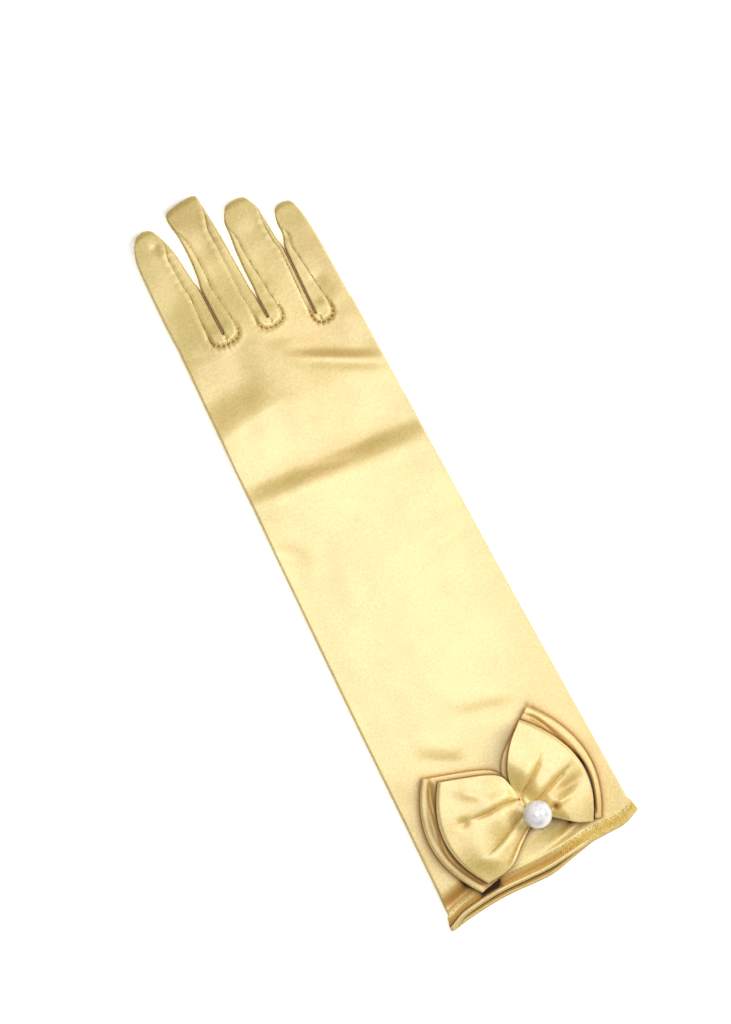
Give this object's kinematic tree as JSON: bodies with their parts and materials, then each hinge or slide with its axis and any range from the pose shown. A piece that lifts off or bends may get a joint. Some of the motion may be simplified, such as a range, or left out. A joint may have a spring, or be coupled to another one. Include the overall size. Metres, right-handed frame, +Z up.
{
  "type": "satin glove",
  "caption": "Child's long pale gold satin dress glove for the right hand, lying palm down, with slim fingers, a straight sleeve, a turned hem and a layered bow with a pearl at the cuff",
  "frame": {"origin": "middle of the glove's plan, on the surface that it lies on", "axes": "+Y from the hem to the fingertips, +X towards the little finger, +Z up out of the back of the hand"},
  "size_m": [0.1004, 0.3476, 0.0313],
  "materials": {
    "satin": "pale gold satin with a soft sheen",
    "bow_satin": "the same satin, puffed into loops",
    "pearl": "imitation pearl, white with a soft lustre"
  },
  "bodies": {
    "root": {"trank": "satin", "thumb": "satin", "fourchette_index_middle": "satin", "fourchette_middle_ring": "satin", "fourchette_ring_little": "satin", "bow_lower": "bow_satin", "bow_upper": "bow_satin", "pearl": "pearl"}
  },
  "joints": []
}
